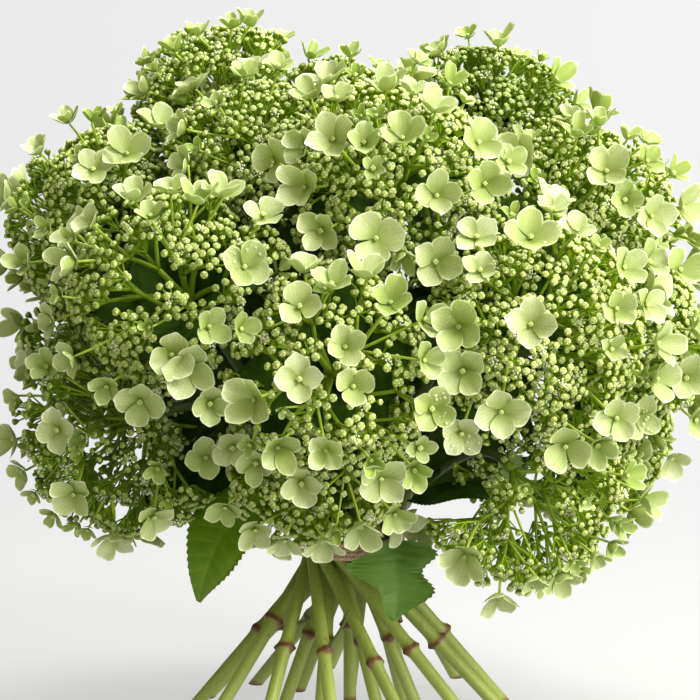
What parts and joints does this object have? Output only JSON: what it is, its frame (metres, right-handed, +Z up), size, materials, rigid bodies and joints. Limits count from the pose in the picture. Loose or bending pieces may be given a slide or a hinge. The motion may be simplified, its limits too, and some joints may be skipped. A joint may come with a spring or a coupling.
{
  "type": "hand-tied hydrangea bouquet",
  "caption": "Spiral hand-tied bunch of green hydrangea heads, cupped sterile florets round domes of small buds, standing on its fanned cut stems, bound with twine.",
  "frame": {"origin": "on the ground, under the middle of the bunch's extent", "axes": "+Z up from the cut stem ends to the flower heads, -Y towards the side that the picture shows, +X to that side's right"},
  "size_m": [0.3258, 0.2912, 0.3174],
  "materials": {
    "flower_heads": "matt petals and waxy buds, pale green",
    "stems": "smooth green bark with brown leaf scars",
    "leaves": "satin dark green",
    "twine": "natural fibre"
  },
  "bodies": {
    "root": {"binding_twine": "twine", "head_high_back": "flower_heads", "head_high_front": "flower_heads", "head_high_front_left": "flower_heads", "head_high_left": "flower_heads", "head_high_right": "flower_heads", "head_low_back_left": "flower_heads", "head_low_back_right": "flower_heads", "head_low_front": "flower_heads", "head_low_left": "flower_heads", "head_low_right": "flower_heads", "head_mid_back": "flower_heads", "head_mid_back_left": "flower_heads", "head_mid_back_right": "flower_heads", "head_mid_front": "flower_heads", "head_mid_front_left": "flower_heads", "head_mid_front_right": "flower_heads", "head_mid_left": "flower_heads", "head_mid_right": "flower_heads", "head_top_left": "flower_heads", "head_top_middle": "flower_heads", "head_top_right": "flower_heads", "leaf_back_left": "leaves", "leaf_back_right": "leaves", "leaf_inner_left": "leaves", "leaf_inner_right": "leaves", "leaf_left_hanging": "leaves", "leaf_right_hanging": "leaves", "leaf_upper_left": "leaves", "leaf_upper_right": "leaves", "stem_high_back": "stems", "stem_high_front": "stems", "stem_high_front_left": "stems", "stem_high_left": "stems", "stem_high_right": "stems", "stem_low_back_left": "stems", "stem_low_back_right": "stems", "stem_low_front": "stems", "stem_low_left": "stems", "stem_low_right": "stems", "stem_mid_back": "stems", "stem_mid_back_left": "stems", "stem_mid_back_right": "stems", "stem_mid_front": "stems", "stem_mid_front_left": "stems", "stem_mid_front_right": "stems", "stem_mid_left": "stems", "stem_mid_right": "stems", "stem_top_left": "stems", "stem_top_middle": "stems", "stem_top_right": "stems"}
  },
  "joints": []
}
